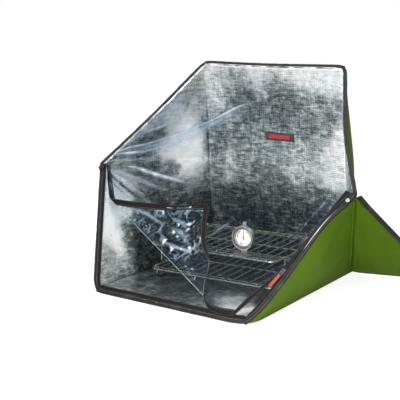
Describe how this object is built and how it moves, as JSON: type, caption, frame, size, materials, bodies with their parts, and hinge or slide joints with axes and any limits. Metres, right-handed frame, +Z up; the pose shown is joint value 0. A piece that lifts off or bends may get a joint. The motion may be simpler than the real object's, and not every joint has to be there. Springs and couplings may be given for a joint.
{
  "type": "box solar cooker",
  "caption": "Fold-up fabric box solar cooker: foil-lined sloping shell, clear zipped window with one corner folded open, pinched side ears, two-tier wire rack and dial thermometer.",
  "frame": {"origin": "middle of the floor panel's underside, on the surface that the cooker stands on", "axes": "+Z up, +Y from the mouth's front edge towards the back panel, +X to the right seen from the front; X is the longest extent"},
  "size_m": [0.8652, 0.4631, 0.4731],
  "materials": {
    "nylon_cover": "coated woven nylon, yellow-green",
    "insulating_core": "closed-cell insulating sheet, white",
    "foil_lining": "crinkled aluminised film, bright",
    "black_binding": "woven edge tape, black, two rows of stitching",
    "zipper_teeth": "moulded coil, black",
    "zipper_tape": "woven zipper tape, black",
    "clear_film": "clear flexible vinyl film, glossy",
    "slider_metal": "black lacquered zinc",
    "pull_plastic": "moulded soft plastic, red",
    "label_weave": "woven satin label, black with a plain red bar",
    "snap_metal": "nickel plated brass cap",
    "webbing": "woven webbing, black",
    "rack_wire": "bright plated steel wire",
    "case_steel": "polished stainless steel",
    "dial_face": "white enamel with coloured zones and plain ticks",
    "lens_glass": "clear flat glass",
    "pointer_black": "matt black"
  },
  "bodies": {
    "shell": {"cover_floor": "nylon_cover", "core_floor": "insulating_core", "lining_floor": "foil_lining", "cover_back": "nylon_cover", "core_back": "insulating_core", "lining_back": "foil_lining", "cover_side_left": "nylon_cover", "core_side_left": "insulating_core", "lining_side_left": "foil_lining", "cover_side_right": "nylon_cover", "core_side_right": "insulating_core", "lining_side_right": "foil_lining", "cover_wing_left": "nylon_cover", "core_wing_left": "insulating_core", "lining_wing_left": "foil_lining", "cover_wing_right": "nylon_cover", "core_wing_right": "insulating_core", "lining_wing_right": "foil_lining", "binding_front": "black_binding", "binding_lower_left": "black_binding", "binding_lower_right": "black_binding", "binding_upper_left": "black_binding", "binding_top": "black_binding", "binding_upper_right": "black_binding", "zipper_frame_tape": "zipper_tape", "zipper_frame_teeth": "zipper_teeth", "film_upper": "clear_film", "film_lower": "clear_film", "zipper_window_tape_left": "zipper_tape", "zipper_window_tape_right": "zipper_tape", "zipper_window_teeth_left": "zipper_teeth", "zipper_window_teeth_right": "zipper_teeth", "label": "label_weave", "snaps": "snap_metal", "carry_handle": "webbing"},
    "window_flap": {"flap_film": "clear_film", "flap_tape": "zipper_tape", "flap_teeth": "zipper_teeth"},
    "slider": {"zipper_slider": "slider_metal"},
    "pull": {"pull_ring": "slider_metal", "pull_tab": "pull_plastic"},
    "ear_left": {"ear_left_front": "nylon_cover", "ear_left_rear": "nylon_cover", "ear_left_binding": "black_binding"},
    "ear_right": {"ear_right_front": "nylon_cover", "ear_right_rear": "nylon_cover", "ear_right_binding": "black_binding"},
    "rack_lower": {"rack_lower_grid": "rack_wire"},
    "rack_lower_leg_left": {"rack_lower_leg_left": "rack_wire"},
    "rack_lower_leg_right": {"rack_lower_leg_right": "rack_wire"},
    "rack_upper": {"rack_upper_grid": "rack_wire"},
    "rack_upper_leg_left": {"rack_upper_leg_left": "rack_wire"},
    "rack_upper_leg_right": {"rack_upper_leg_right": "rack_wire"},
    "thermometer": {"dial_case": "case_steel", "dial_plate": "dial_face", "dial_lens": "lens_glass", "dial_stand": "case_steel"},
    "pointer": {"dial_pointer": "pointer_black"}
  },
  "joints": [
    {"name": "window_flap_fold", "type": "hinge", "parent": "shell", "child": "window_flap", "pos_m": [-0.252, -0.10108, 0.17443], "axis": [0.8804, -0.2833, -0.3804], "range_deg": [0, 170]},
    {"name": "zipper_slide", "type": "slide", "parent": "shell", "child": "slider", "axis": [0.3934, 0.5492, 0.7374], "range_m": [-0.09, 0.165]},
    {"name": "pull_tab_swing", "type": "hinge", "parent": "slider", "child": "pull", "pos_m": [0.22365, -0.16179, 0.09744], "axis": [-0.9194, 0.235, 0.3155], "range_deg": [0, 150]},
    {"name": "ear_right_fold", "type": "hinge", "parent": "shell", "child": "ear_right", "pos_m": [0.19315, 0.22919, -0.0006], "axis": [0.3279, -0.7175, 0.6146], "range_deg": [0, 100]},
    {"name": "ear_left_fold", "type": "hinge", "parent": "shell", "child": "ear_left", "pos_m": [-0.19315, 0.22919, -0.0006], "axis": [0.3279, 0.7175, -0.6146], "range_deg": [0, 100]},
    {"name": "rack_lower_lift", "type": "slide", "parent": "shell", "child": "rack_lower", "axis": [0, 0, 1], "range_m": [0, 0.008]},
    {"name": "rack_upper_lift", "type": "slide", "parent": "rack_lower", "child": "rack_upper", "axis": [0, 0, 1], "range_m": [0, 0.008]},
    {"name": "rack_lower_leg_left_fold", "type": "hinge", "parent": "rack_lower", "child": "rack_lower_leg_left", "pos_m": [-0.13972, 0.00684, 0.033], "axis": [0.061, -0.9981, 0], "range_deg": [0, 80]},
    {"name": "rack_lower_leg_right_fold", "type": "hinge", "parent": "rack_lower", "child": "rack_lower_leg_right", "pos_m": [0.15972, 0.02516, 0.033], "axis": [-0.061, 0.9981, 0], "range_deg": [0, 80]},
    {"name": "rack_upper_leg_left_fold", "type": "hinge", "parent": "rack_upper", "child": "rack_upper_leg_left", "pos_m": [-0.13972, 0.00684, 0.088], "axis": [0.061, -0.9981, 0], "range_deg": [0, 80]},
    {"name": "rack_upper_leg_right_fold", "type": "hinge", "parent": "rack_upper", "child": "rack_upper_leg_right", "pos_m": [0.15972, 0.02516, 0.088], "axis": [-0.061, 0.9981, 0], "range_deg": [0, 80]},
    {"name": "thermometer_lift", "type": "slide", "parent": "rack_upper", "child": "thermometer", "axis": [0, 0, 1], "range_m": [0, 0.008]},
    {"name": "pointer_turn", "type": "hinge", "parent": "thermometer", "child": "pointer", "pos_m": [0.08801, -0.08002, 0.1274], "axis": [0, -1, 0], "range_deg": [-130, 130]}
  ]
}
